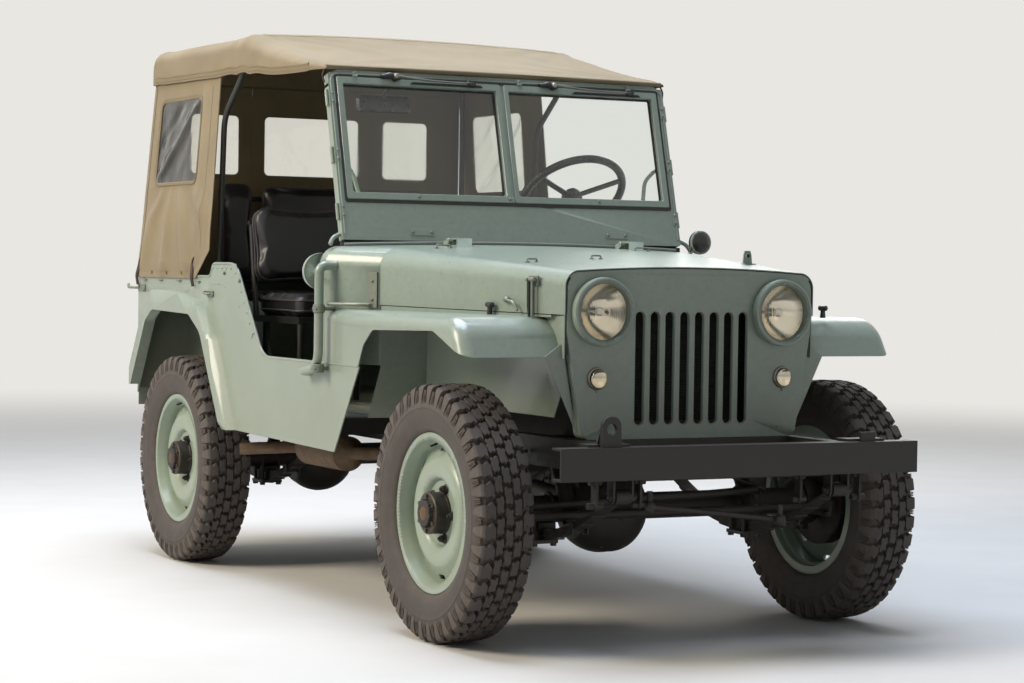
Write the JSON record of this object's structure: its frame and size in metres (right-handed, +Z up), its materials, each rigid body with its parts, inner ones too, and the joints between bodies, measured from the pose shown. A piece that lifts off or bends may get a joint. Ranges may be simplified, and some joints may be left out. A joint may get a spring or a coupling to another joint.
{
  "type": "light 4x4 utility car with canvas top",
  "caption": "Short-wheelbase open 4x4 utility car with flat fenders, high hood, upright windshield, canvas top and a spare wheel at the tail.",
  "frame": {"origin": "on the floor under the middle of the car's bounding box", "axes": "+X to the car's left, +Y to its back, +Z up"},
  "size_m": [1.412, 3.2375, 1.8058],
  "materials": {
    "green_enamel": "satin",
    "wheel_enamel": "satin",
    "black_paint": "satin",
    "axle_black": "matte",
    "bare_steel": "satin",
    "tyre_rubber": "matte",
    "canvas": "matte",
    "seat_vinyl": "satin",
    "pane_glass": "gloss",
    "lamp_glass": "gloss",
    "black_plastic": "gloss",
    "engine_paint": "matte",
    "bow_paint": "satin"
  },
  "bodies": {
    "car_body": {"canvas_roof": "canvas", "chassis_frame": "black_paint", "cowl": "green_enamel", "dashboard": "green_enamel", "engine_block": "engine_paint", "exhaust": "bare_steel", "floor_controls": "black_plastic", "floor_pan": "green_enamel", "front_axle": "axle_black", "front_bumper": "black_paint", "front_fender_left": "green_enamel", "front_fender_right": "green_enamel", "fuel_tank": "engine_paint", "gearbox": "axle_black", "grab_tubes": "green_enamel", "grille": "green_enamel", "headlight_lenses": "lamp_glass", "headlight_shells": "green_enamel", "leaf_springs": "axle_black", "marker_lamps": "lamp_glass", "mirrors": "green_enamel", "propshafts": "axle_black", "radiator": "engine_paint", "rear_axle": "axle_black", "rear_curtain": "canvas", "rear_seat_back": "seat_vinyl", "rear_seat_cushion": "seat_vinyl", "seat_backs": "seat_vinyl", "seat_cushions": "seat_vinyl", "seat_frames": "bow_paint", "shock_absorbers": "axle_black", "side_curtains": "canvas", "side_panel_left": "green_enamel", "side_panel_right": "green_enamel", "spare_carrier": "green_enamel", "spare_tyre": "tyre_rubber", "spare_wheel": "wheel_enamel", "steering_column": "black_plastic", "tail_lamps": "black_plastic", "tail_panel": "green_enamel", "top_bows": "bow_paint", "tow_lugs": "black_paint", "wheelhouse_left": "green_enamel", "wheelhouse_right": "green_enamel", "windshield_frame": "green_enamel", "windshield_glass": "pane_glass"},
    "hood_lid": {"hood": "green_enamel"},
    "right_knuckle": {"knuckle_right": "axle_black"},
    "left_knuckle": {"knuckle_left": "axle_black"},
    "front_right_wheel": {"wheel_front_right": "wheel_enamel", "tyre_front_right": "tyre_rubber"},
    "front_left_wheel": {"wheel_front_left": "wheel_enamel", "tyre_front_left": "tyre_rubber"},
    "rear_right_wheel": {"wheel_rear_right": "wheel_enamel", "tyre_rear_right": "tyre_rubber"},
    "rear_left_wheel": {"wheel_rear_left": "wheel_enamel", "tyre_rear_left": "tyre_rubber"},
    "steering_handwheel": {"steering_wheel": "black_plastic"},
    "track_rod": {"tie_rod": "axle_black"}
  },
  "joints": [
    {"name": "steer_right", "type": "hinge", "parent": "car_body", "child": "right_knuckle", "pos_m": [-0.535, -1.092, 0.356], "axis": [0, 0, 1], "range_deg": [-27, 27]},
    {"name": "steer_left", "type": "hinge", "parent": "car_body", "child": "left_knuckle", "pos_m": [0.535, -1.092, 0.356], "axis": [0, 0, 1], "range_deg": [-27, 27]},
    {"name": "track_rod_shift", "type": "slide", "parent": "car_body", "child": "track_rod", "axis": [1, 0, 0], "range_m": [-0.072, 0.072]},
    {"name": "handwheel_turn", "type": "hinge", "parent": "car_body", "child": "steering_handwheel", "pos_m": [0.33, -0.042, 1.255], "axis": [0, 0.6691, 0.7431], "range_deg": [-380, 380]},
    {"name": "hood_lift", "type": "hinge", "parent": "car_body", "child": "hood_lid", "pos_m": [0, -0.468, 1.109], "axis": [-1, 0, 0], "range_deg": [0, 100]},
    {"name": "roll_front_right", "type": "hinge", "parent": "right_knuckle", "child": "front_right_wheel", "pos_m": [-0.62, -1.092, 0.356], "axis": [1, 0, 0], "continuous": true},
    {"name": "roll_front_left", "type": "hinge", "parent": "left_knuckle", "child": "front_left_wheel", "pos_m": [0.62, -1.092, 0.356], "axis": [1, 0, 0], "continuous": true},
    {"name": "roll_rear_right", "type": "hinge", "parent": "car_body", "child": "rear_right_wheel", "pos_m": [-0.62, 0.94, 0.356], "axis": [1, 0, 0], "continuous": true},
    {"name": "roll_rear_left", "type": "hinge", "parent": "car_body", "child": "rear_left_wheel", "pos_m": [0.62, 0.94, 0.356], "axis": [1, 0, 0], "continuous": true}
  ],
  "couplings": [
    {"joint": "steer_left", "follows": "steer_right", "ratio": 1},
    {"joint": "track_rod_shift", "follows": "steer_right", "m_per_rad": 0.15},
    {"joint": "handwheel_turn", "follows": "steer_right", "ratio": 14}
  ]
}
